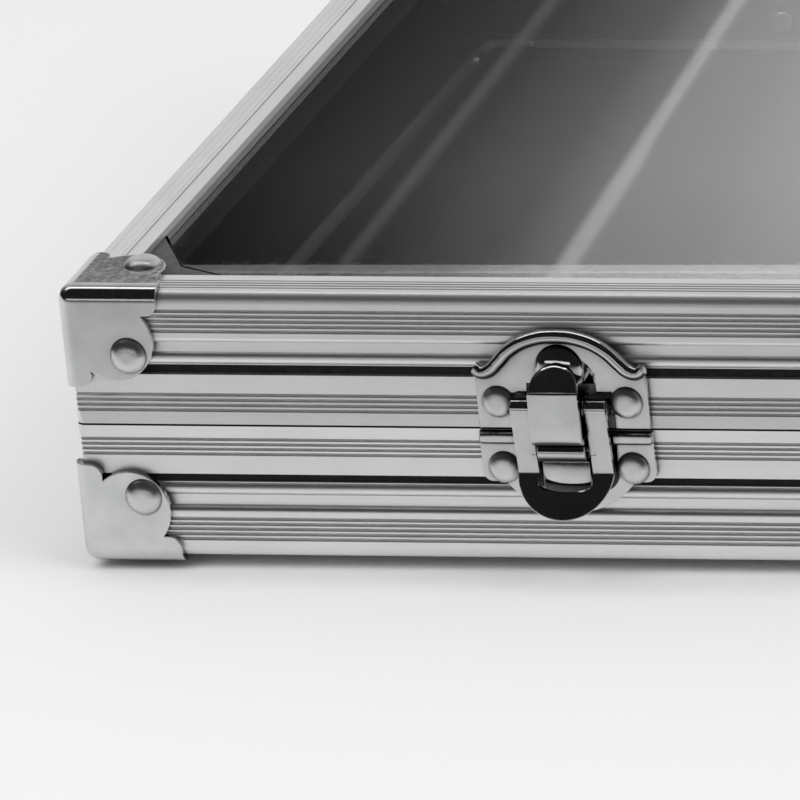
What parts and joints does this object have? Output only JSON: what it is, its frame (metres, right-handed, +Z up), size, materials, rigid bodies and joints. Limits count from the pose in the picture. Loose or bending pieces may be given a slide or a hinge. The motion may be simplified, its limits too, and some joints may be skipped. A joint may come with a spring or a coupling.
{
  "type": "glass-topped aluminium display case",
  "caption": "Low aluminium-framed display case with a glass lid, riveted chrome corner caps, draw latches on the front, hinges at the back and a black padded floor.",
  "frame": {"origin": "on the ground, under the middle of the closed case's bounding box", "axes": "+X along the case's length to the right of someone facing the latches, +Y from the latches to the hinges, +Z up"},
  "size_m": [0.3552, 0.2628, 0.0582],
  "materials": {
    "frame": "satin anodised",
    "walls": "satin anodised",
    "chrome": "polished",
    "rivet": "polished",
    "floor": "matte",
    "block": "matte",
    "pad": "velvet",
    "tape": "matte",
    "glass": "clear"
  },
  "bodies": {
    "base": {"base_edge_rail_front": "frame", "base_closing_rail_front": "frame", "base_edge_rail_right": "frame", "base_closing_rail_right": "frame", "base_edge_rail_back": "frame", "base_closing_rail_back": "frame", "base_edge_rail_left": "frame", "base_closing_rail_left": "frame", "base_wall_strips": "walls", "base_corner_blocks": "block", "base_cap_front_left": "chrome", "base_cap_front_right": "chrome", "base_cap_back_left": "chrome", "base_cap_back_right": "chrome", "base_cap_rivets": "rivet", "base_latch_rivets": "rivet", "base_hinge_rivets": "rivet", "floor_panel": "floor", "display_pad": "pad", "latch_plate_left": "chrome", "hinge_base_leaf_left": "chrome", "lever_pin_left": "rivet", "hinge_pin_left": "rivet", "latch_plate_right": "chrome", "hinge_base_leaf_right": "chrome", "lever_pin_right": "rivet", "hinge_pin_right": "rivet"},
    "lid": {"lid_edge_rail_front": "frame", "lid_closing_rail_front": "frame", "lid_edge_rail_right": "frame", "lid_closing_rail_right": "frame", "lid_edge_rail_back": "frame", "lid_closing_rail_back": "frame", "lid_edge_rail_left": "frame", "lid_closing_rail_left": "frame", "lid_wall_strips": "walls", "lid_corner_blocks": "block", "lid_cap_front_left": "chrome", "lid_cap_front_right": "chrome", "lid_cap_back_left": "chrome", "lid_cap_back_right": "chrome", "lid_cap_rivets": "rivet", "lid_latch_rivets": "rivet", "lid_hinge_rivets": "rivet", "glass_pane": "glass", "glazing_seal": "tape", "latch_keeper_left": "chrome", "hinge_lid_leaf_left": "chrome", "latch_keeper_right": "chrome", "hinge_lid_leaf_right": "chrome"},
    "lever_left": {"latch_lever_left": "chrome", "hook_pin_left": "rivet"},
    "hook_left": {"latch_hook_left": "chrome"},
    "lever_right": {"latch_lever_right": "chrome", "hook_pin_right": "rivet"},
    "hook_right": {"latch_hook_right": "chrome"}
  },
  "joints": [
    {"name": "lid_hinge", "type": "hinge", "parent": "base", "child": "lid", "pos_m": [0, 0.12925, 0.0291], "axis": [-1, 0, 0], "range_deg": [0, 100]},
    {"name": "lever_left_pivot", "type": "hinge", "parent": "base", "child": "lever_left", "pos_m": [-0.078, -0.12585, 0.0341], "axis": [-1, 0, 0], "range_deg": [0, 110]},
    {"name": "hook_left_pivot", "type": "hinge", "parent": "lever_left", "child": "hook_left", "pos_m": [-0.078, -0.12585, 0.0261], "axis": [1, 0, 0], "range_deg": [0, 110]},
    {"name": "lever_right_pivot", "type": "hinge", "parent": "base", "child": "lever_right", "pos_m": [0.078, -0.12585, 0.0341], "axis": [-1, 0, 0], "range_deg": [0, 110]},
    {"name": "hook_right_pivot", "type": "hinge", "parent": "lever_right", "child": "hook_right", "pos_m": [0.078, -0.12585, 0.0261], "axis": [1, 0, 0], "range_deg": [0, 110]}
  ],
  "couplings": [
    {"joint": "hook_left_pivot", "follows": "lever_left_pivot", "ratio": 1},
    {"joint": "hook_right_pivot", "follows": "lever_right_pivot", "ratio": 1}
  ]
}
